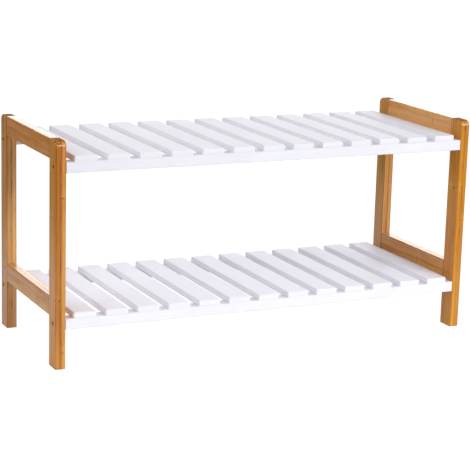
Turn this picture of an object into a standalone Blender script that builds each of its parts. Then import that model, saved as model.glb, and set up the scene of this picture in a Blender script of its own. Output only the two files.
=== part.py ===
# Entryway bench: two laminated bamboo end frames carry two white slatted shelves.
# X runs along the bench, Y runs from front to back, Z is up. The origin is the middle of
# the footprint, on the floor. All lengths are in metres.
import bpy
import bmesh
import math
from mathutils import Matrix, Vector

# Driving dimensions
LENGTH = 0.700            # outside of one end frame to the outside of the other
DEPTH = 0.263             # front of the front legs to the back of the back legs
HEIGHT = 0.343            # floor to the top of the end frames
FIT_GAP = 0.0003          # clearance that is left between pieces that touch

LEG_THICKNESS = 0.016     # along X, shared by every piece of an end frame
LEG_DEPTH = 0.0295        # along Y
LEG_CROWN_RADIUS = 0.009  # the rounded outer corner at the top of each leg
LEG_CROWN_STEPS = 5
LEG_EASE = 0.0018         # rounding of the legs' edges
RAIL_EASE = 0.0009        # rounding of the edges of the frames' rails
TOP_RAIL_HEIGHT = 0.0305
CROSS_RAIL_HEIGHT = 0.0297

SLATS_PER_SHELF = 13
SLAT_WIDTH = 0.036
SLAT_THICKNESS = 0.0085
SLAT_SPACING = 0.0506     # from the middle of one slat to the middle of the next
SLAT_EASE = 0.0008        # rounding of the lacquered edges
UPPER_SHELF_SEAT = 0.3117 # underside of the upper slats
LOWER_SHELF_SEAT = 0.0768 # underside of the lower slats

SHELF_RAIL_HEIGHT = 0.0162
SHELF_RAIL_DEPTH = 0.020

SCREW_HEAD_RADIUS = 0.0030
SCREW_HEAD_HEIGHT = 0.0034
SCREW_HEAD_SINK = 0.0014  # the head lies this far under the leg's outer face
SCREW_SOCKET_RADIUS = 0.0016
SCREW_SOCKET_DEPTH = 0.0020
SCREW_SHANK_RADIUS = 0.0020
SCREW_LENGTH = 0.045
SCREW_INSET = 0.0125       # from the leg's outer edge to the screw's centre line
SCREW_SIDES = 16

DOWEL_RADIUS = 0.004
DOWEL_LENGTH = 0.030
DOWEL_CHAMFER = 0.0008
DOWEL_SIDES = 16

BAMBOO = (0.57, 0.27, 0.07)
BEECH = (0.62, 0.44, 0.26)
WHITE_LACQUER = (0.87, 0.87, 0.89)
BLACK_STEEL = (0.10, 0.09, 0.08)

# Worked out from the driving dimensions
LEG_X = LENGTH / 2 - LEG_THICKNESS / 2
LEG_Y = DEPTH / 2 - LEG_DEPTH / 2
INNER_FACE_X = LENGTH / 2 - LEG_THICKNESS
SHELF_RAIL_Y = DEPTH / 2 - SHELF_RAIL_DEPTH / 2
SCREW_Y = DEPTH / 2 - SCREW_INSET
TOP_RAIL_Z = HEIGHT - TOP_RAIL_HEIGHT / 2
CROSS_RAIL_Z = LOWER_SHELF_SEAT + CROSS_RAIL_HEIGHT / 2
SHELF_SEATS = {"upper": UPPER_SHELF_SEAT, "lower": LOWER_SHELF_SEAT}
SIDES = {"left": -1, "right": 1}
ENDS = {"front": -1, "rear": 1}


def shelf_rail_z(seat):
    """Height of a shelf rail's middle, just under the slats that it carries."""
    return seat - FIT_GAP - SHELF_RAIL_HEIGHT / 2


def clear_scene():
    for item in list(bpy.data.objects):
        bpy.data.objects.remove(item, do_unlink=True)


def new_collection(name):
    collection = bpy.data.collections.new(name)
    bpy.context.scene.collection.children.link(collection)
    return collection


def new_material(name, colour, roughness, metallic=0.0):
    material = bpy.data.materials.new(name)
    material.use_nodes = True
    shader = material.node_tree.nodes["Principled BSDF"]
    shader.inputs["Base Color"].default_value = (*colour, 1.0)
    shader.inputs["Roughness"].default_value = roughness
    shader.inputs["Metallic"].default_value = metallic
    return material


def put(mesh, name, place, collection, material=None):
    """Make an object of a mesh, at its place, in a collection."""
    piece = bpy.data.objects.new(name, mesh)
    piece.location = place
    collection.objects.link(piece)
    if material is not None:
        mesh.materials.append(material)
    return piece


def box_mesh(name, size):
    mesh = bpy.data.meshes.new(name)
    shape = bmesh.new()
    bmesh.ops.create_cube(shape, size=1.0)
    bmesh.ops.scale(shape, vec=Vector(size), verts=shape.verts)
    shape.to_mesh(mesh)
    shape.free()
    return mesh


def cylinder_mesh(name, radius, length, sides, turn):
    """A closed cylinder about the axis that the turn gives its Z axis."""
    mesh = bpy.data.meshes.new(name)
    shape = bmesh.new()
    bmesh.ops.create_cone(shape, cap_ends=True, segments=sides, radius1=radius,
                          radius2=radius, depth=length, matrix=turn)
    shape.to_mesh(mesh)
    shape.free()
    return mesh


def ease_edges(piece, width, segments):
    """Round off every sharp edge of a piece."""
    bevel = piece.modifiers.new("eased edges", "BEVEL")
    bevel.width = width
    bevel.segments = segments
    bevel.limit_method = "ANGLE"
    bevel.angle_limit = math.radians(50)


def add_cutter(mesh, name, place):
    cutter = put(mesh, name, place, cutters)
    cutter.hide_render = True
    cutter.display_type = "WIRE"
    return cutter


def cut(piece, cutter):
    boolean = piece.modifiers.new(cutter.name, "BOOLEAN")
    boolean.operation = "DIFFERENCE"
    boolean.solver = "EXACT"
    boolean.object = cutter


ALONG_X = Matrix.Rotation(math.radians(90), 4, "Y")
ALONG_Y = Matrix.Rotation(math.radians(90), 4, "X")

clear_scene()
parts = new_collection("entryway_bench")
cutters = new_collection("cutters")


def dowel_cutter(name, side, end, z):
    """The blind bores, in leg and rail, that one dowel fills."""
    mesh = cylinder_mesh(name, DOWEL_RADIUS + FIT_GAP, DOWEL_LENGTH + 2 * FIT_GAP,
                         DOWEL_SIDES, ALONG_Y)
    return add_cutter(mesh, name, (side * LEG_X, end * (DEPTH / 2 - LEG_DEPTH), z))


def screw_cutter(name, side, end, z):
    """The screw's bore through the leg and on into the end of the shelf rail."""
    length = SCREW_HEAD_SINK + SCREW_LENGTH + FIT_GAP
    mesh = cylinder_mesh(name, SCREW_SHANK_RADIUS + FIT_GAP, length, SCREW_SIDES, ALONG_X)
    return add_cutter(mesh, name, (side * (LENGTH - length) / 2, end * SCREW_Y, z))


def counterbore_cutter(name, side, end, z):
    """The wider mouth of that bore, which takes the screw's head."""
    depth = SCREW_HEAD_SINK + SCREW_HEAD_HEIGHT + FIT_GAP
    mesh = cylinder_mesh(name, SCREW_HEAD_RADIUS + FIT_GAP, 2 * depth, SCREW_SIDES, ALONG_X)
    return add_cutter(mesh, name, (side * LENGTH / 2, end * SCREW_Y, z))


def leg_mesh(name, end):
    """A leg from floor to top, its outer top corner turned to a radius."""
    mesh = bpy.data.meshes.new(name)
    shape = bmesh.new()
    bmesh.ops.create_cube(shape, size=1.0)
    bmesh.ops.scale(shape, vec=Vector((LEG_THICKNESS, LEG_DEPTH, HEIGHT)), verts=shape.verts)
    crown = [edge for edge in shape.edges
             if all(v.co.z > 0 and v.co.y * end > 0 for v in edge.verts)]
    bmesh.ops.bevel(shape, geom=crown, offset=LEG_CROWN_RADIUS, offset_type="OFFSET",
                    segments=LEG_CROWN_STEPS, profile=0.5, affect="EDGES")
    shape.to_mesh(mesh)
    shape.free()
    return mesh


# End frames: four legs, a top rail and a cross rail at each end, dowelled together
dowel_bores = {}
screw_bores = {}
counterbores = {}
for side_name, side in SIDES.items():
    for end_name, end in ENDS.items():
        for level, z in (("top", TOP_RAIL_Z), ("cross", CROSS_RAIL_Z)):
            key = (side_name, end_name, level)
            dowel_bores[key] = dowel_cutter("dowel_bore_" + "_".join(key), side, end, z)
        for shelf, seat in SHELF_SEATS.items():
            key = (side_name, end_name, shelf)
            label = "_".join(key)
            z = shelf_rail_z(seat)
            screw_bores[key] = screw_cutter("screw_bore_" + label, side, end, z)
            counterbores[key] = counterbore_cutter("counterbore_" + label, side, end, z)

for side_name, side in SIDES.items():
    for end_name, end in ENDS.items():
        name = f"{end_name}_{side_name}_leg"
        leg = put(leg_mesh(name, end), name, (side * LEG_X, end * LEG_Y, HEIGHT / 2), parts,
                  new_material(name, BAMBOO, 0.45))
        ease_edges(leg, LEG_EASE, 2)
        for level in ("top", "cross"):
            cut(leg, dowel_bores[side_name, end_name, level])
        for shelf in SHELF_SEATS:
            cut(leg, screw_bores[side_name, end_name, shelf])
            cut(leg, counterbores[side_name, end_name, shelf])

    rail_length = DEPTH - 2 * LEG_DEPTH - 2 * FIT_GAP
    for level, height, z in (("top", TOP_RAIL_HEIGHT, TOP_RAIL_Z),
                             ("cross", CROSS_RAIL_HEIGHT, CROSS_RAIL_Z)):
        name = f"{side_name}_{level}_rail"
        rail = put(box_mesh(name, (LEG_THICKNESS, rail_length, height)), name,
                   (side * LEG_X, 0, z), parts, new_material(name, BAMBOO, 0.45))
        ease_edges(rail, RAIL_EASE, 1)
        for end_name in ENDS:
            cut(rail, dowel_bores[side_name, end_name, level])

# Dowels: one blind beech dowel in each joint of the end frames
for side_name, side in SIDES.items():
    for end_name, end in ENDS.items():
        for level, z in (("top", TOP_RAIL_Z), ("cross", CROSS_RAIL_Z)):
            name = f"{end_name}_{side_name}_{level}_dowel"
            dowel = put(cylinder_mesh(name, DOWEL_RADIUS, DOWEL_LENGTH, DOWEL_SIDES, ALONG_Y),
                        name, (side * LEG_X, end * (DEPTH / 2 - LEG_DEPTH), z), parts,
                        new_material(name, BEECH, 0.7))
            ease_edges(dowel, DOWEL_CHAMFER, 1)
            dowel.data.shade_smooth()
            dowel.data.set_sharp_from_angle(angle=math.radians(30))

# Shelves: a front and a rear rail between the legs, with the slats laid across them
for shelf, seat in SHELF_SEATS.items():
    for end_name, end in ENDS.items():
        name = f"{shelf}_{end_name}_shelf_rail"
        size = (2 * (INNER_FACE_X - FIT_GAP), SHELF_RAIL_DEPTH, SHELF_RAIL_HEIGHT)
        rail = put(box_mesh(name, size), name, (0, end * SHELF_RAIL_Y, shelf_rail_z(seat)),
                   parts, new_material(name, WHITE_LACQUER, 0.4))
        ease_edges(rail, SLAT_EASE, 1)
        for side_name in SIDES:
            cut(rail, screw_bores[side_name, end_name, shelf])

    for number in range(1, SLATS_PER_SHELF + 1):
        name = f"{shelf}_slat_{number:02d}"
        x = (number - (SLATS_PER_SHELF + 1) / 2) * SLAT_SPACING
        slat = put(box_mesh(name, (SLAT_WIDTH, DEPTH, SLAT_THICKNESS)), name,
                   (x, 0, seat + SLAT_THICKNESS / 2), parts,
                   new_material(name, WHITE_LACQUER, 0.4))
        ease_edges(slat, SLAT_EASE, 1)


def screw_mesh(name, side):
    """A screw along X, its head towards the outside, its socket open at the head."""
    mesh = bpy.data.meshes.new(name)
    shape = bmesh.new()
    bmesh.ops.create_cone(shape, cap_ends=True, segments=SCREW_SIDES,
                          radius1=SCREW_HEAD_RADIUS, radius2=SCREW_HEAD_RADIUS,
                          depth=SCREW_HEAD_HEIGHT)
    below = min(shape.faces, key=lambda face: face.calc_center_median().z)
    bmesh.ops.inset_individual(shape, faces=[below],
                               thickness=SCREW_HEAD_RADIUS - SCREW_SHANK_RADIUS)
    stem = bmesh.ops.extrude_discrete_faces(shape, faces=[below])["faces"][0]
    bmesh.ops.translate(shape, verts=stem.verts,
                        vec=(0, 0, -(SCREW_LENGTH - SCREW_HEAD_HEIGHT)))
    bmesh.ops.translate(shape, verts=shape.verts, vec=(0, 0, -SCREW_HEAD_HEIGHT / 2))
    bmesh.ops.transform(shape, verts=shape.verts,
                        matrix=Matrix.Rotation(math.radians(90 * side), 4, "Y"))
    shape.to_mesh(mesh)
    shape.free()
    return mesh


# Screws: one through each leg into the end of each shelf rail, head sunk in the leg
for side_name, side in SIDES.items():
    for end_name, end in ENDS.items():
        for shelf, seat in SHELF_SEATS.items():
            name = f"{shelf}_{end_name}_{side_name}_screw"
            x = side * (LENGTH / 2 - SCREW_HEAD_SINK)
            place = (x, end * SCREW_Y, shelf_rail_z(seat))
            screw = put(screw_mesh(name, side), name, place, parts,
                        new_material(name, BLACK_STEEL, 0.35, 1.0))
            socket = cylinder_mesh("socket_" + name, SCREW_SOCKET_RADIUS,
                                   2 * SCREW_SOCKET_DEPTH, 6, ALONG_X)
            cut(screw, add_cutter(socket, "socket_" + name, place))
            screw.data.shade_smooth()
            screw.data.set_sharp_from_angle(angle=math.radians(30))
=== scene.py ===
import math

import bmesh
import bpy
from mathutils import Matrix, Vector


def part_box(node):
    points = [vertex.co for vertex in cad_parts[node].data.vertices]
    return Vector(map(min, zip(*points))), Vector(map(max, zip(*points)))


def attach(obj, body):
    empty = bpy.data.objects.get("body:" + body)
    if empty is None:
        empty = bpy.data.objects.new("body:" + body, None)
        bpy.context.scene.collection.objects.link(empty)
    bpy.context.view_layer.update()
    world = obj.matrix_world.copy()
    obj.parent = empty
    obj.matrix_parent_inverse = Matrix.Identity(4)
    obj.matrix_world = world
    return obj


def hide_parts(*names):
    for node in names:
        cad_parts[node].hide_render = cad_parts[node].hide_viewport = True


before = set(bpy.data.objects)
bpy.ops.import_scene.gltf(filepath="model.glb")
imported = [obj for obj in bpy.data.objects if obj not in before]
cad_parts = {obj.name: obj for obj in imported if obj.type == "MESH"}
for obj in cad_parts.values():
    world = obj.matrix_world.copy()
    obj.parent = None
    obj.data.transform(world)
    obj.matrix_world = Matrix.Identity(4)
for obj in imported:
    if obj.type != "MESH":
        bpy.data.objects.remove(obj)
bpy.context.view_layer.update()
bpy.ops.object.select_all(action="DESELECT")


# ------------------------------------------------------------------------------- legs
# Each leg is a bar of three-ply laminated bamboo, sawn to 16 by 29.5 mm, with its outer
# corner turned to a radius at the top. The long edges that the hand meets are routed
# round; the inner edges, which the rails butt against, are only broken with sandpaper.
CROWN_RADIUS = 0.009
ROUTED_EDGE = 0.0020
SANDED_EDGE = 0.0004
FIT_GAP = 0.0003              # left open between pieces that touch
HOLE_SIDES = 32
CORE_PLY = 0.0026             # the two outer plies share the rest of the 16 mm
CORE_BLUR = 0.0002
FIBRE_WIDTH = 0.0009          # real fibres are 0.3 mm wide; drawn coarser so that they show
FIBRE_LENGTH = 0.110
STREAK_WIDTH = 0.0042
STREAK_LENGTH = 0.260
CLOUD_WIDTH = 0.020
CLOUD_LENGTH = 0.090
DASH_WIDTH = 0.0014
DASH_LENGTH = 0.016
DRIFT_LENGTH = 0.050
KNUCKLE_SPACING = 0.235       # from one joint of the bamboo cane to the next
SCAR_WIDTH = 0.0040
FIBRE_END_SPACING = 0.0011
TINT_WIDTH = 0.011
TINT_LENGTH = 0.160
TINT_SPREAD = 0.004
DARK_FIBRE_AND_SHADE_EDGE = 0.0013            # how far the darker long edges reach: partly cut fibre ends, partly painted shade
LEG_WANDER = 0.0010           # how far the fibres of a leg drift sideways
LEG_SEAM = -0.0030            # where the two strips of a leg's ply meet, from its middle
LEG_SEED = 2.0
LEG_SEED_STEP = 3.7


def start_block(name, low, high):
    """A box from one corner to the other, its place held in its mesh."""
    bpy.ops.mesh.primitive_cube_add(size=1, location=(low + high) / 2)
    block = bpy.context.object
    block.name = name
    block.scale = high - low
    bpy.ops.object.transform_apply(location=True, rotation=True, scale=True)
    return block


def ease(piece, wanted, width, steps):
    """Round off the edges that wanted() picks."""
    bpy.context.view_layer.objects.active = piece
    bpy.ops.object.mode_set(mode="EDIT")
    bpy.ops.mesh.select_mode(type="EDGE")
    bpy.ops.mesh.select_all(action="DESELECT")
    shape = bmesh.from_edit_mesh(piece.data)
    for edge in shape.edges:
        edge.select_set(wanted(edge))
    bmesh.update_edit_mesh(piece.data)
    bpy.ops.mesh.bevel(offset=width, segments=steps, profile=0.5, affect="EDGES")
    bpy.ops.object.mode_set(mode="OBJECT")


def middle(edge):
    return (edge.verts[0].co + edge.verts[1].co) / 2


def is_sharp(edge):
    return edge.calc_face_angle(0) > math.radians(50)


def drill(piece, start, end, radius, end_radius=None):
    """Bore a round hole, straight or tapered, from one point to another."""
    along = end - start
    bpy.ops.mesh.primitive_cone_add(vertices=HOLE_SIDES, radius1=radius, depth=along.length,
                                    radius2=end_radius or radius, location=(start + end) / 2,
                                    rotation=along.to_track_quat("Z", "Y").to_euler())
    bit = bpy.context.object
    bpy.context.view_layer.objects.active = piece
    bpy.ops.object.modifier_add(type="BOOLEAN")
    cut = piece.modifiers[-1]
    cut.operation = "DIFFERENCE"
    cut.solver = "EXACT"
    cut.object = bit
    bpy.ops.object.modifier_apply(modifier=cut.name)
    bpy.data.objects.remove(bit, do_unlink=True)


def smooth(piece):
    """Shade rounded edges smooth and keep the broad faces flat."""
    bpy.ops.object.select_all(action="DESELECT")
    piece.select_set(True)
    bpy.context.view_layer.objects.active = piece
    bpy.ops.object.shade_smooth_by_angle(angle=math.radians(40))
    bpy.ops.object.modifier_add(type="WEIGHTED_NORMAL")
    weighting = piece.modifiers[-1]
    weighting.keep_sharp = True
    bpy.ops.object.modifier_apply(modifier=weighting.name)
    piece.select_set(False)


def settle(piece, node, material):
    """Give a finished piece its material and let it stand for its CAD node."""
    smooth(piece)
    piece.data.materials.append(material)
    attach(piece, "root")
    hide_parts(node)


def colour(code):
    """An sRGB hex value as linear colour with alpha."""
    parts = [int(code[i:i + 2], 16) / 255 for i in (1, 3, 5)]
    return [c / 12.92 if c <= 0.04045 else ((c + 0.055) / 1.055) ** 2.4 for c in parts] + [1.0]


def add_node(tree, kind, inputs, **settings):
    """A new shader node; inputs holds, for each input, a value or the socket that feeds it."""
    node = tree.nodes.new("ShaderNode" + kind)
    for name, value in settings.items():
        setattr(node, name, value)
    for key, value in inputs.items():
        if isinstance(value, bpy.types.NodeSocket):
            tree.links.new(value, node.inputs[key])
        else:
            node.inputs[key].default_value = value
    return node


def grain(tree, place, width, length, seed, detail=2.0):
    """Streaks that run along local Z, about width across and length long, in metres."""
    stretched = add_node(tree, "Mapping", {"Vector": place,
                                           "Scale": (1 / width, 1 / width, 1 / length)})
    noise = add_node(tree, "TexNoise", {"Vector": stretched.outputs[0], "W": seed, "Scale": 1.0,
                                        "Detail": detail}, noise_dimensions="4D")
    return noise.outputs[0]


def edge_mask(tree, place, half, reach):
    """1 on the edges of a block of that half size about local zero, 0 beyond reach."""
    split = add_node(tree, "SeparateXYZ", {0: place})
    inset = []
    for axis in range(3):
        size = add_node(tree, "Math", {0: split.outputs[axis]}, operation="ABSOLUTE")
        inset.append(add_node(tree, "Math", {0: half[axis], 1: size.outputs[0]},
                              operation="SUBTRACT").outputs[0])
    low = add_node(tree, "Math", {0: inset[0], 1: inset[1]}, operation="MINIMUM")
    high = add_node(tree, "Math", {0: inset[0], 1: inset[1]}, operation="MAXIMUM")
    rest = add_node(tree, "Math", {0: high.outputs[0], 1: inset[2]}, operation="MINIMUM")
    second = add_node(tree, "Math", {0: low.outputs[0], 1: rest.outputs[0]}, operation="MAXIMUM")
    mask = add_node(tree, "MapRange", {"Value": second.outputs[0], "From Min": reach * 0.2,
                                       "From Max": reach, "To Min": 1.0, "To Max": 0.0})
    return mask.outputs[0]


def laminated_bamboo(name, centre, half, turn, seed, cane, wander, seam):
    """Two golden plies of bamboo on a thin dark core, under clear satin lacquer.

    The eye sees long fibres with short dark dashes among them, plies of unlike tone with
    fine glue lines, here and there the soft dark scar of a knuckle with a pale ring, long
    edges darkened partly by cut fibre ends and partly by painted shade, and end grain that
    is all small dots.

    Turn brings the fibres onto Z, and half is half the piece's size after that. Cane holds
    how light, how yellow and how strong the piece's colour is, and how much lighter its
    strips beyond the seam are. Wander is how far the fibres drift, and seam the place
    across the piece where two strips meet.
    """
    tone, yellow, strength, contrast = cane
    material = bpy.data.materials.new(name)
    material.use_nodes = True
    tree = material.node_tree
    shader = tree.nodes["Principled BSDF"]
    coordinates = add_node(tree, "TexCoord", {})
    local = add_node(tree, "Mapping", {"Vector": coordinates.outputs["Object"],
                                       "Location": centre, "Rotation": turn},
                     vector_type="TEXTURE").outputs[0]

    # The fibres drift sideways a little, more so on a rail sawn across the cane's curve
    drift = add_node(tree, "TexNoise", {"Vector": local, "W": seed + 5.1,
                                        "Scale": 1 / DRIFT_LENGTH, "Detail": 1.0},
                     noise_dimensions="4D")
    centred = add_node(tree, "VectorMath", {0: drift.outputs["Color"], 1: (0.5, 0.5, 0.5)},
                       operation="SUBTRACT")
    scaled = add_node(tree, "VectorMath", {0: centred.outputs[0], 1: (wander, wander, 0.0)},
                      operation="MULTIPLY")
    warped = add_node(tree, "VectorMath", {0: local, 1: scaled.outputs[0]}, operation="ADD")
    fibre = grain(tree, warped.outputs[0], FIBRE_WIDTH, FIBRE_LENGTH, seed)
    streak = grain(tree, warped.outputs[0], STREAK_WIDTH, STREAK_LENGTH, seed + 1.7)
    cloud = grain(tree, warped.outputs[0], CLOUD_WIDTH, CLOUD_LENGTH, seed + 3.3)
    dashes = grain(tree, warped.outputs[0], DASH_WIDTH, DASH_LENGTH, seed + 6.4)
    dash = add_node(tree, "MapRange", {"Value": dashes, "From Min": 0.52, "From Max": 0.68})

    # Plies across X and strips across Y, each cut from another cane
    split = add_node(tree, "SeparateXYZ", {0: local})
    off_core = add_node(tree, "Math", {0: split.outputs["X"]}, operation="ABSOLUTE")
    core = add_node(tree, "MapRange", {"Value": off_core.outputs[0],
                                       "From Min": CORE_PLY / 2 - CORE_BLUR,
                                       "From Max": CORE_PLY / 2 + CORE_BLUR,
                                       "To Min": 1.0, "To Max": 0.0})
    side = add_node(tree, "Math", {0: split.outputs["X"]}, operation="SIGN")
    strip = add_node(tree, "Math", {0: split.outputs["Y"], 1: seam}, operation="GREATER_THAN")
    label = add_node(tree, "CombineXYZ", {"X": side.outputs[0], "Y": strip.outputs[0],
                                          "Z": seed})
    lot = add_node(tree, "TexWhiteNoise", {"Vector": label.outputs[0]}, noise_dimensions="3D")
    core_dash = add_node(tree, "Math", {0: dash.outputs[0], 1: core.outputs[0]},
                         operation="MULTIPLY")

    # Thin glue lines between plies, and between the two strips of a ply
    to_glue = add_node(tree, "Math", {0: off_core.outputs[0], 1: CORE_PLY / 2},
                       operation="SUBTRACT")
    glue_gap = add_node(tree, "Math", {0: to_glue.outputs[0]}, operation="ABSOLUTE")
    to_seam = add_node(tree, "Math", {0: split.outputs["Y"], 1: seam}, operation="SUBTRACT")
    seam_gap = add_node(tree, "Math", {0: to_seam.outputs[0]}, operation="ABSOLUTE")
    nearest = add_node(tree, "Math", {0: glue_gap.outputs[0], 1: seam_gap.outputs[0]},
                       operation="MINIMUM")
    glue = add_node(tree, "MapRange", {"Value": nearest.outputs[0], "From Min": 0.0001,
                                       "From Max": 0.0006, "To Min": 1.0, "To Max": 0.0})

    # Knuckles, at another height on each ply and strip: patchy scars in a paler zone
    patches = grain(tree, local, SCAR_WIDTH, SCAR_WIDTH, seed + 8.0)
    patch = add_node(tree, "MapRange", {"Value": patches, "From Min": 0.46, "From Max": 0.60})
    shift = add_node(tree, "Math", {0: lot.outputs["Value"], 1: 1.0, 2: seed * 0.37},
                     operation="MULTIPLY_ADD")
    height = add_node(tree, "Math", {0: split.outputs["Z"], 1: 1 / KNUCKLE_SPACING,
                                     2: shift.outputs[0]}, operation="MULTIPLY_ADD")
    uneven = add_node(tree, "Math", {0: patches, 1: 0.080, 2: height.outputs[0]},
                      operation="MULTIPLY_ADD")
    fold = add_node(tree, "Math", {0: uneven.outputs[0], 1: 0.5}, operation="PINGPONG")
    ring = add_node(tree, "MapRange", {"Value": fold.outputs[0], "From Min": 0.003,
                                       "From Max": 0.014, "To Min": 1.0, "To Max": 0.0})
    knuckle = add_node(tree, "Math", {0: ring.outputs[0], 1: patch.outputs[0]},
                       operation="MULTIPLY")
    halo = add_node(tree, "MapRange", {"Value": fold.outputs[0], "From Min": 0.008,
                                       "From Max": 0.045, "To Min": 1.0, "To Max": 0.0})

    # Saw cuts across the cane show the ends of the fibres as dark dots
    facing = add_node(tree, "Mapping", {"Vector": coordinates.outputs["Normal"],
                                        "Rotation": turn}, vector_type="TEXTURE")
    facing_split = add_node(tree, "SeparateXYZ", {0: facing.outputs[0]})
    endward = add_node(tree, "Math", {0: facing_split.outputs["Z"]}, operation="ABSOLUTE")
    end_face = add_node(tree, "MapRange", {"Value": endward.outputs[0], "From Min": 0.75,
                                           "From Max": 0.95})
    dots = add_node(tree, "TexVoronoi", {"Vector": local, "Scale": 1 / FIBRE_END_SPACING},
                    voronoi_dimensions="3D")
    dot = add_node(tree, "MapRange", {"Value": dots.outputs["Distance"], "From Min": 0.15,
                                      "From Max": 0.45, "To Min": 1.0, "To Max": 0.0})
    end_dots = add_node(tree, "Math", {0: dot.outputs[0], 1: end_face.outputs[0]},
                        operation="MULTIPLY")

    # Everything that lightens or darkens the cane, added up; the darker long edges are partly cut
    # fibre ends and partly painted shade on the rounded arrises
    total = tone
    parts = [(streak, 0.84), (fibre, 0.38), (cloud, 0.36), (lot.outputs["Value"], 0.20),
             (strip.outputs[0], contrast), (core.outputs[0], -0.16),
             (core_dash.outputs[0], -0.24), (dash.outputs[0], -0.09), (glue.outputs[0], -0.05),
             (knuckle.outputs[0], -0.52), (halo.outputs[0], 0.10), (end_face.outputs[0], -0.30),
             (end_dots.outputs[0], -0.30), (edge_mask(tree, local, half, DARK_FIBRE_AND_SHADE_EDGE), -0.26)]
    for socket, weight in parts:
        total = add_node(tree, "Math", {0: socket, 1: weight, 2: total},
                         operation="MULTIPLY_ADD").outputs[0]
    ramp = add_node(tree, "ValToRGB", {0: total})
    stops = ramp.color_ramp.elements
    stops[0].position, stops[0].color = 0.05, colour("#6E3F18")
    stops[1].position, stops[1].color = 0.98, colour("#E3B06A")
    for position, code in ((0.28, "#985921"), (0.50, "#B77A39"), (0.74, "#CE964D")):
        stops.new(position).color = colour(code)

    # Some canes lean to red, some to olive
    hue_noise = grain(tree, local, TINT_WIDTH, TINT_LENGTH, seed + 12.0, detail=0.0)
    hue = add_node(tree, "MapRange", {"Value": hue_noise, "From Min": 0.3, "From Max": 0.7,
                                      "To Min": yellow - TINT_SPREAD,
                                      "To Max": yellow + TINT_SPREAD})
    tinted = add_node(tree, "HueSaturation", {"Hue": hue.outputs[0], "Saturation": strength,
                                              "Color": ramp.outputs[0]})
    tree.links.new(tinted.outputs[0], shader.inputs["Base Color"])

    rough = add_node(tree, "MapRange", {"Value": fibre, "From Min": 0.3, "From Max": 0.7,
                                        "To Min": 0.46, "To Max": 0.34})
    matt = add_node(tree, "Math", {0: end_face.outputs[0], 1: 0.50, 2: rough.outputs[0]},
                    operation="MULTIPLY_ADD")
    tree.links.new(matt.outputs[0], shader.inputs["Roughness"])

    # The open ends drink the lacquer, so no film stays on them
    film = add_node(tree, "MapRange", {"Value": end_face.outputs[0], "To Min": 0.35,
                                       "To Max": 0.0})
    tree.links.new(film.outputs[0], shader.inputs["Coat Weight"])
    shader.inputs["Coat Roughness"].default_value = 0.16

    relief = add_node(tree, "Math", {0: glue.outputs[0], 1: -0.6, 2: fibre},
                      operation="MULTIPLY_ADD")
    relief = add_node(tree, "Math", {0: knuckle.outputs[0], 1: 0.5, 2: relief.outputs[0]},
                      operation="MULTIPLY_ADD")
    bump = add_node(tree, "Bump", {"Strength": 0.35, "Distance": 0.0001,
                                   "Height": relief.outputs[0]})
    tree.links.new(bump.outputs[0], shader.inputs["Normal"])
    return material


def on_outline(edge):
    """True where a broad side face meets any other face."""
    sides = [abs(face.normal.x) > 0.9 for face in edge.link_faces]
    return sides.count(True) == 1


leg_low, leg_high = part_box("front_left_leg")
leg = start_block("bamboo_leg", leg_low, leg_high)
ease(leg, lambda e: middle(e).z > leg_high.z - FIT_GAP and middle(e).y < leg_low.y + FIT_GAP
     and not on_outline(e), CROWN_RADIUS, steps=10)
ease(leg, lambda e: on_outline(e) and middle(e).y < leg_high.y - FIT_GAP and middle(e).z > FIT_GAP,
     ROUTED_EDGE, steps=4)
ease(leg, is_sharp, SANDED_EDGE, steps=2)

# Blind holes for the dowels of its two rails, and a counterbored hole for each screw
for rail in ("top", "cross"):
    dowel_low, dowel_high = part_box(f"front_left_{rail}_dowel")
    dowel_axis = (dowel_low + dowel_high) / 2
    inner = Vector((dowel_axis.x, leg_high.y + SANDED_EDGE, dowel_axis.z))
    blind = Vector((dowel_axis.x, dowel_low.y - FIT_GAP, dowel_axis.z))
    drill(leg, inner, blind, (dowel_high.z - dowel_low.z) / 2 + FIT_GAP)
HEAD_HEIGHT = 0.0034
SHANK_RADIUS = 0.0020
COUNTERSINK = 0.0007          # how much wider than the head the hole is at the face
for shelf in ("upper", "lower"):
    screw_low, screw_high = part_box(f"{shelf}_front_left_screw")
    screw_axis = (screw_low + screw_high) / 2
    outside = Vector((leg_low.x - ROUTED_EDGE, screw_axis.y, screw_axis.z))
    inside = Vector((leg_high.x + ROUTED_EDGE, screw_axis.y, screw_axis.z))
    seat = Vector((screw_low.x + HEAD_HEIGHT + FIT_GAP, screw_axis.y, screw_axis.z))
    face = Vector((leg_low.x, screw_axis.y, screw_axis.z))
    head_radius = (screw_high.z - screw_low.z) / 2
    drill(leg, outside, inside, SHANK_RADIUS + FIT_GAP)
    drill(leg, outside, seat, head_radius + FIT_GAP)
    drill(leg, face - Vector((FIT_GAP, 0, 0)), face + Vector((FIT_GAP, 0, 0)),
          head_radius + COUNTERSINK, head_radius + FIT_GAP)


def mirror_copy(piece, name, x, y):
    """A copy with its own mesh, mirrored across the bench's middle where x or y is -1."""
    copy = piece.copy()
    copy.data = piece.data.copy()
    copy.name = name
    bpy.context.scene.collection.objects.link(copy)
    copy.data.transform(Matrix.Diagonal((x, y, 1, 1)))
    if x * y < 0:
        copy.data.flip_normals()
    return copy


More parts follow.
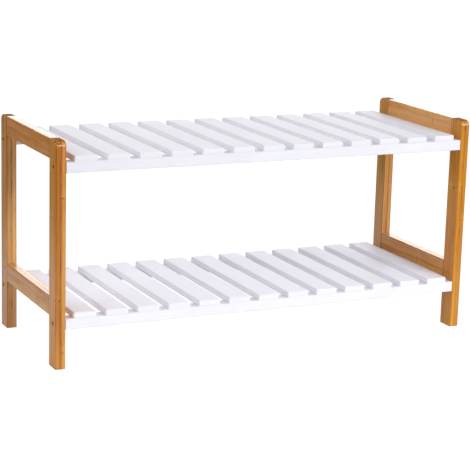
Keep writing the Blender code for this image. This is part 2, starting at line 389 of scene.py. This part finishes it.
# How light, how yellow, how strong, and how much lighter beyond the seam. The front right leg's
# extra lightness is partly painted light, standing in for the brighter light of the key panel on
# the right.
LEG_CANES_AND_LIGHT = {("front", "left"): (-0.26, 0.492, 1.08, 0.00),
             ("rear", "left"): (-0.18, 0.498, 0.98, -0.08),
             ("front", "right"): (-0.14, 0.494, 1.12, 0.00),
             ("rear", "right"): (-0.29, 0.501, 1.02, 0.07)}
for number, ((end, side), cane) in enumerate(LEG_CANES_AND_LIGHT.items()):
    node = f"{end}_{side}_leg"
    low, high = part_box(node)
    copy = mirror_copy(leg, f"bamboo_leg_{end}_{side}", 1 if side == "left" else -1,
                       1 if end == "front" else -1)
    centre = (low + high) / 2
    material = laminated_bamboo(f"laminated bamboo, {end} {side} leg", centre, (high - low) / 2,
                                (0, 0, 0), LEG_SEED + LEG_SEED_STEP * number, cane,
                                LEG_WANDER, LEG_SEAM)
    settle(copy, node, material)
bpy.data.objects.remove(leg, do_unlink=True)


# ---------------------------------------------------------------- rails of the end frames
# A top rail and a cross rail close each end frame. They are the same three-ply bamboo,
# cut between the legs, dowelled and glued, then sanded flush with them, so the joint is
# only a fine line. Their long edges are routed, and each broad face is one strip.
TOP_RAIL_EDGE = 0.0020
CROSS_RAIL_EDGE = 0.0014
RAIL_WANDER = 0.0075
RAIL_SEED = 21.0
RAIL_SEED_STEP = 4.3
RAIL_CANES = {("left", "top"): (-0.22, 0.486, 1.04, 0.0),
              ("left", "cross"): (-0.25, 0.497, 1.02, 0.0),
              ("right", "top"): (0.02, 0.488, 1.05, 0.0),
              ("right", "cross"): (-0.16, 0.494, 1.06, 0.0)}
for number, ((side, level), cane) in enumerate(RAIL_CANES.items()):
    node = f"{side}_{level}_rail"
    low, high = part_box(node)
    rail = start_block(f"bamboo_{level}_rail_{side}", low, high)
    routed = TOP_RAIL_EDGE if level == "top" else CROSS_RAIL_EDGE
    ease(rail, lambda e: abs(middle(e).y) < FIT_GAP, routed, steps=4)
    ease(rail, is_sharp, FIT_GAP, steps=1)
    for end in ("front", "rear"):
        dowel_low, dowel_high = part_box(f"{end}_{side}_{level}_dowel")
        dowel_axis = (dowel_low + dowel_high) / 2
        out = -1 if end == "front" else 1
        mouth = Vector((dowel_axis.x, out * (high.y + FIT_GAP), dowel_axis.z))
        bottom = Vector((dowel_axis.x, dowel_high.y + FIT_GAP if end == "front"
                         else dowel_low.y - FIT_GAP, dowel_axis.z))
        drill(rail, mouth, bottom, (dowel_high.z - dowel_low.z) / 2 + FIT_GAP)
    half = (high - low) / 2
    no_seam = half.z * 2          # beyond the rail's edge
    material = laminated_bamboo(f"laminated bamboo, {side} {level} rail", (low + high) / 2,
                                (half.x, half.z, half.y), (math.radians(90), 0, 0),
                                RAIL_SEED + RAIL_SEED_STEP * number, cane, RAIL_WANDER, no_seam)
    settle(rail, node, material)


# ---------------------------------------------------------------------- slats of the shelves
# Thirteen slats to a shelf, planed from solid wood, their edges eased, sprayed with an
# opaque white satin lacquer. They are pinned to the shelf rails under the paint, with
# equal gaps between them, and their ends lie flush with the rails' outer faces.
SLATS_PER_SHELF = 13
SLAT_TOP_EDGE = 0.0020
SLAT_LOWER_EDGE = 0.00006
PAINT_BRIDGE = 0.00027        # paint fills most of the joint between slat and rail
RIDGE_WIDTH = 0.0016          # planed grain under the film
RIDGE_LENGTH = 0.070
MOTTLE_WIDTH = 0.030
MOTTLE_LENGTH = 0.080
PEEL_WIDTH = 0.0012
THIN_EDGE = 0.0020            # how far the thinner film of the edges reaches
NO_REPEAT = 2.0               # longer than the bench


def white_lacquer(name, centre, half, turn, pitch):
    """Opaque white satin lacquer, sprayed on planed wood.

    The eye sees a cool white that is almost even: the wood's grain stands up a little
    under the film, the film has a fine orange peel, and it is thinner on the edges. Pitch
    is how far it is to the next piece that shares the material, along X, Y and Z.
    """
    material = bpy.data.materials.new(name)
    material.use_nodes = True
    tree = material.node_tree
    shader = tree.nodes["Principled BSDF"]
    coordinates = add_node(tree, "TexCoord", {})
    along = add_node(tree, "Mapping", {"Vector": coordinates.outputs["Object"],
                                       "Rotation": turn}, vector_type="TEXTURE").outputs[0]
    ridge = grain(tree, along, RIDGE_WIDTH, RIDGE_LENGTH, 1.0)
    mottle = grain(tree, along, MOTTLE_WIDTH, MOTTLE_LENGTH, 4.0)
    peel = grain(tree, along, PEEL_WIDTH, PEEL_WIDTH, 7.0, detail=0.0)

    # Each piece's own place: the same piece comes again one pitch further on
    offset = add_node(tree, "VectorMath", {0: coordinates.outputs["Object"], 1: centre},
                      operation="SUBTRACT")
    half_pitch = [p / 2 for p in pitch]
    own = add_node(tree, "VectorMath", {0: offset.outputs[0], 1: half_pitch,
                                        2: [-p for p in half_pitch]}, operation="WRAP")
    edge = edge_mask(tree, own.outputs[0], half, THIN_EDGE)
    patchy = add_node(tree, "MapRange", {"Value": mottle, "From Min": 0.40, "From Max": 0.65,
                                         "To Min": 0.1, "To Max": 0.7})
    thin = add_node(tree, "Math", {0: edge, 1: patchy.outputs[0]}, operation="MULTIPLY")

    shade = add_node(tree, "Math", {0: ridge, 1: 0.35, 2: mottle}, operation="MULTIPLY_ADD")
    ramp = add_node(tree, "ValToRGB", {0: shade.outputs[0]})
    stops = ramp.color_ramp.elements
    stops[0].position, stops[0].color = 0.35, colour("#EDEDF6")
    stops[1].position, stops[1].color = 1.00, colour("#F7F7FE")
    worn = add_node(tree, "Mix", {"Factor": thin.outputs[0], 6: ramp.outputs[0],
                                  7: colour("#E8E6E8")}, data_type="RGBA")
    tree.links.new(worn.outputs[2], shader.inputs["Base Color"])
    rough = add_node(tree, "MapRange", {"Value": mottle, "From Min": 0.3, "From Max": 0.7,
                                        "To Min": 0.48, "To Max": 0.60})
    tree.links.new(rough.outputs[0], shader.inputs["Roughness"])
    shader.inputs["Specular IOR Level"].default_value = 0.2
    relief = add_node(tree, "Math", {0: peel, 1: 0.4, 2: ridge}, operation="MULTIPLY_ADD")
    bump = add_node(tree, "Bump", {"Strength": 0.25, "Distance": 0.00008,
                                   "Height": relief.outputs[0]})
    tree.links.new(bump.outputs[0], shader.inputs["Normal"])
    return material


slat_low, slat_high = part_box("lower_slat_01")
slat_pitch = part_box("lower_slat_02")[0].x - slat_low.x
shelf_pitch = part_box("upper_slat_01")[0].z - slat_low.z
slat_half = (slat_high - slat_low) / 2
slat_paint = white_lacquer("white lacquered wood, slats", (slat_low + slat_high) / 2, slat_half,
                           (math.radians(90), 0, 0), (slat_pitch, NO_REPEAT, shelf_pitch))
slat = start_block("lacquered_slat", slat_low - Vector((0, 0, PAINT_BRIDGE)), slat_high)
ease(slat, lambda e: middle(e).z > slat_low.z + FIT_GAP, SLAT_TOP_EDGE, steps=4)
ease(slat, is_sharp, SLAT_LOWER_EDGE, steps=2)
for shelf in ("upper", "lower"):
    for number in range(1, SLATS_PER_SHELF + 1):
        node = f"{shelf}_slat_{number:02d}"
        low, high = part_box(node)
        copy = mirror_copy(slat, f"lacquered_{node}", 1, 1)
        copy.data.transform(Matrix.Translation(low - slat_low))
        settle(copy, node, slat_paint)
bpy.data.objects.remove(slat, do_unlink=True)


# ------------------------------------------------------------------------- shelf rails
# A front and a rear rail under each shelf, white like the slats, butted between the legs.
# Each end is bored for the screw that comes through the leg.
RAIL_TOP_EDGE = 0.00006
RAIL_LOWER_EDGE = 0.0010
rail_low, rail_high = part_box("lower_front_shelf_rail")
rail_half = (rail_high - rail_low) / 2
rail_paint = white_lacquer("white lacquered wood, shelf rails", (rail_low + rail_high) / 2,
                           rail_half, (0, math.radians(90), 0),
                           (NO_REPEAT, -(rail_low + rail_high).y, shelf_pitch))
bridge = Vector((PAINT_BRIDGE, 0, 0))
shelf_rail = start_block("lacquered_rail", rail_low - bridge, rail_high + bridge)
ease(shelf_rail, lambda e: middle(e).z < rail_low.z + FIT_GAP and abs(middle(e).x) < FIT_GAP,
     RAIL_LOWER_EDGE, steps=3)
ease(shelf_rail, is_sharp, RAIL_TOP_EDGE, steps=2)
for side in ("left", "right"):
    screw_low, screw_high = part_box(f"lower_front_{side}_screw")
    screw_axis = (screw_low + screw_high) / 2
    out = -1 if side == "left" else 1
    mouth = Vector((out * (rail_high.x + ROUTED_EDGE), screw_axis.y, screw_axis.z))
    tip = screw_high.x + FIT_GAP if side == "left" else screw_low.x - FIT_GAP
    drill(shelf_rail, mouth, Vector((tip, screw_axis.y, screw_axis.z)), SHANK_RADIUS + FIT_GAP)
for shelf in ("upper", "lower"):
    for end in ("front", "rear"):
        node = f"{shelf}_{end}_shelf_rail"
        low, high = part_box(node)
        copy = mirror_copy(shelf_rail, f"lacquered_{node}", 1, 1 if end == "front" else -1)
        copy.data.transform(Matrix.Translation((0, 0, low.z - rail_low.z)))
        settle(copy, node, rail_paint)
bpy.data.objects.remove(shelf_rail, do_unlink=True)


# ------------------------------------------------------------------------------ screws
# Eight steel screws with a hexagon socket, coated black-brown, run through the legs into
# the ends of the shelf rails. Their heads lie in counterbores, a little under the bamboo.
BLOTCH_WIDTH = 0.0012


def coated_steel(name):
    """Steel with a black-brown coating: dark, warm, with a slight oily shine."""
    material = bpy.data.materials.new(name)
    material.use_nodes = True
    tree = material.node_tree
    shader = tree.nodes["Principled BSDF"]
    coordinates = add_node(tree, "TexCoord", {})
    blotch = grain(tree, coordinates.outputs["Object"], BLOTCH_WIDTH, BLOTCH_WIDTH, 2.0)
    ramp = add_node(tree, "ValToRGB", {0: blotch})
    stops = ramp.color_ramp.elements
    stops[0].position, stops[0].color = 0.3, colour("#22150C")
    stops[1].position, stops[1].color = 0.7, colour("#44290F")
    tree.links.new(ramp.outputs[0], shader.inputs["Base Color"])
    rough = add_node(tree, "MapRange", {"Value": blotch, "To Min": 0.30, "To Max": 0.55})
    tree.links.new(rough.outputs[0], shader.inputs["Roughness"])
    shader.inputs["Metallic"].default_value = 1.0
    return material


steel = coated_steel("black-brown coated steel")
for shelf in ("upper", "lower"):
    for end in ("front", "rear"):
        for side in ("left", "right"):
            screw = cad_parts[f"{shelf}_{end}_{side}_screw"]
            screw.data.materials.clear()
            screw.data.materials.append(steel)


# ------------------------------------------------------------------------------ dowels
# A turned beech dowel in each joint of the end frames, eight in all. It is glued into blind
# holes in the leg and in the rail, and nothing of it shows once the frame is together.
FLECK_WIDTH = 0.0005
FLECK_LENGTH = 0.0030


def turned_beech(name):
    """Bare beech: pale pinkish brown with short dark flecks."""
    material = bpy.data.materials.new(name)
    material.use_nodes = True
    tree = material.node_tree
    shader = tree.nodes["Principled BSDF"]
    coordinates = add_node(tree, "TexCoord", {})
    along = add_node(tree, "Mapping", {"Vector": coordinates.outputs["Object"],
                                       "Rotation": (math.radians(90), 0, 0)},
                     vector_type="TEXTURE")
    fleck = grain(tree, along.outputs[0], FLECK_WIDTH, FLECK_LENGTH, 3.0)
    ramp = add_node(tree, "ValToRGB", {0: fleck})
    stops = ramp.color_ramp.elements
    stops[0].position, stops[0].color = 0.35, colour("#B98B62")
    stops[1].position, stops[1].color = 0.60, colour("#DDB88F")
    tree.links.new(ramp.outputs[0], shader.inputs["Base Color"])
    shader.inputs["Roughness"].default_value = 0.7
    return material


beech = turned_beech("bare beech")
for side in ("left", "right"):
    for end in ("front", "rear"):
        for level in ("top", "cross"):
            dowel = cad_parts[f"{end}_{side}_{level}_dowel"]
            dowel.data.materials.clear()
            dowel.data.materials.append(beech)


# ------------------------------------------------------------------------------- stage
# A white sweep lit to pure white, and plain soft light: a large softbox low at the front
# right, a weak one at the left, a wide one behind that the satin top faces pick up, and a
# pale ceiling. The paper under the bench throws light up at it; further out it is dark.
SWEEP_SIZE = 60
SWEEP_REACH = 1000.0
BOUNCE_RADIUS = 1.2
BOUNCE_DEPTH = 0.002
AIM_HEIGHT = 0.2


def studio_paper(name, albedo, glow, reach):
    """Matt white paper, which may glow too; it darkens out to reach metres from the middle."""
    material = bpy.data.materials.new(name)
    material.use_nodes = True
    tree = material.node_tree
    shader = tree.nodes["Principled BSDF"]
    shader.inputs["Roughness"].default_value = 1.0
    shader.inputs["Specular IOR Level"].default_value = 0.0
    shader.inputs["Emission Color"].default_value = (1.0, 1.0, 1.0, 1.0)
    shader.inputs["Emission Strength"].default_value = glow
    coordinates = add_node(tree, "TexCoord", {})
    distance = add_node(tree, "VectorMath", {0: coordinates.outputs["Object"]},
                        operation="LENGTH")
    fade = add_node(tree, "MapRange", {"Value": distance.outputs["Value"],
                                       "From Min": reach * 0.55, "From Max": reach,
                                       "To Min": albedo, "To Max": 0.0})
    tree.links.new(fade.outputs[0], shader.inputs["Base Color"])
    return material


bpy.ops.mesh.primitive_plane_add(size=SWEEP_SIZE)
floor = bpy.context.object
floor.name = "studio_floor"
floor.visible_diffuse = False
floor.visible_glossy = False
floor.visible_shadow = False
floor.data.materials.append(studio_paper("white sweep", albedo=0.10, glow=1.00,
                                         reach=SWEEP_REACH))

bpy.ops.mesh.primitive_circle_add(vertices=64, radius=BOUNCE_RADIUS, fill_type="NGON",
                                  location=(0, 0, -BOUNCE_DEPTH))
bounce = bpy.context.object
bounce.name = "studio_bounce"
bounce.visible_camera = False
bounce.data.materials.append(studio_paper("white paper", albedo=0.90, glow=0.0,
                                          reach=BOUNCE_RADIUS))


def panel(name, azimuth, elevation, distance, width, height, radiance):
    """A soft rectangular light that looks at the bench from that direction.

    Azimuth turns from the front (0) to the right (90) and on to the back (180).
    """
    data = bpy.data.lights.new(name, "AREA")
    data.shape = "RECTANGLE"
    data.size = width
    data.size_y = height
    data.energy = radiance * math.pi * width * height
    lamp = bpy.data.objects.new(name, data)
    flat = distance * math.cos(math.radians(elevation))
    place = Vector((flat * math.sin(math.radians(azimuth)),
                    -flat * math.cos(math.radians(azimuth)),
                    distance * math.sin(math.radians(elevation)) + AIM_HEIGHT))
    lamp.location = place
    aim = Vector((0, 0, AIM_HEIGHT)) - place
    lamp.rotation_euler = aim.to_track_quat("-Z", "Y").to_euler()
    lamp.visible_camera = False
    bpy.context.scene.collection.objects.link(lamp)


panel("key_panel", azimuth=28, elevation=20, distance=4.2, width=2.4, height=1.8, radiance=8.5)
panel("left_panel", azimuth=-80, elevation=28, distance=3.0, width=2.0, height=2.0, radiance=2.15)
panel("rear_panel", azimuth=156, elevation=12, distance=3.4, width=4.2, height=1.1, radiance=3.2)

world = bpy.data.worlds.new("studio")
bpy.context.scene.world = world
world.use_nodes = True
sky = world.node_tree
background = sky.nodes["Background"]
direction = add_node(sky, "TexCoord", {})
upward = add_node(sky, "SeparateXYZ", {0: direction.outputs["Generated"]})
ceiling = add_node(sky, "MapRange", {"Value": upward.outputs["Z"], "From Min": 0.0,
                                     "From Max": 0.25, "To Min": 0.08, "To Max": 0.45})
light_path = add_node(sky, "LightPath", {})
strength = add_node(sky, "Math", {0: ceiling.outputs[0], 1: light_path.outputs["Is Camera Ray"]},
                    operation="MAXIMUM")
sky.links.new(strength.outputs[0], background.inputs["Strength"])
background.inputs["Color"].default_value = (1.0, 1.0, 1.0, 1.0)
bpy.context.scene.view_settings.view_transform = "Standard"

CAMERA_PLACE = Vector((-1.1401, -2.3955, 0.7691))
CAMERA_HEADING = math.radians(-25.46)
CAMERA_PITCH = math.radians(13.13)
CAMERA_ROLL = math.radians(1.65)
CAMERA_LENS = 129.3
camera = bpy.data.objects.new("camera", bpy.data.cameras.new("camera"))
camera.data.lens = CAMERA_LENS
camera.matrix_world = (Matrix.Translation(CAMERA_PLACE)
                       @ Matrix.Rotation(CAMERA_HEADING, 4, "Z")
                       @ Matrix.Rotation(math.radians(90) - CAMERA_PITCH, 4, "X")
                       @ Matrix.Rotation(CAMERA_ROLL, 4, "Z"))
bpy.context.scene.collection.objects.link(camera)
bpy.context.scene.camera = camera
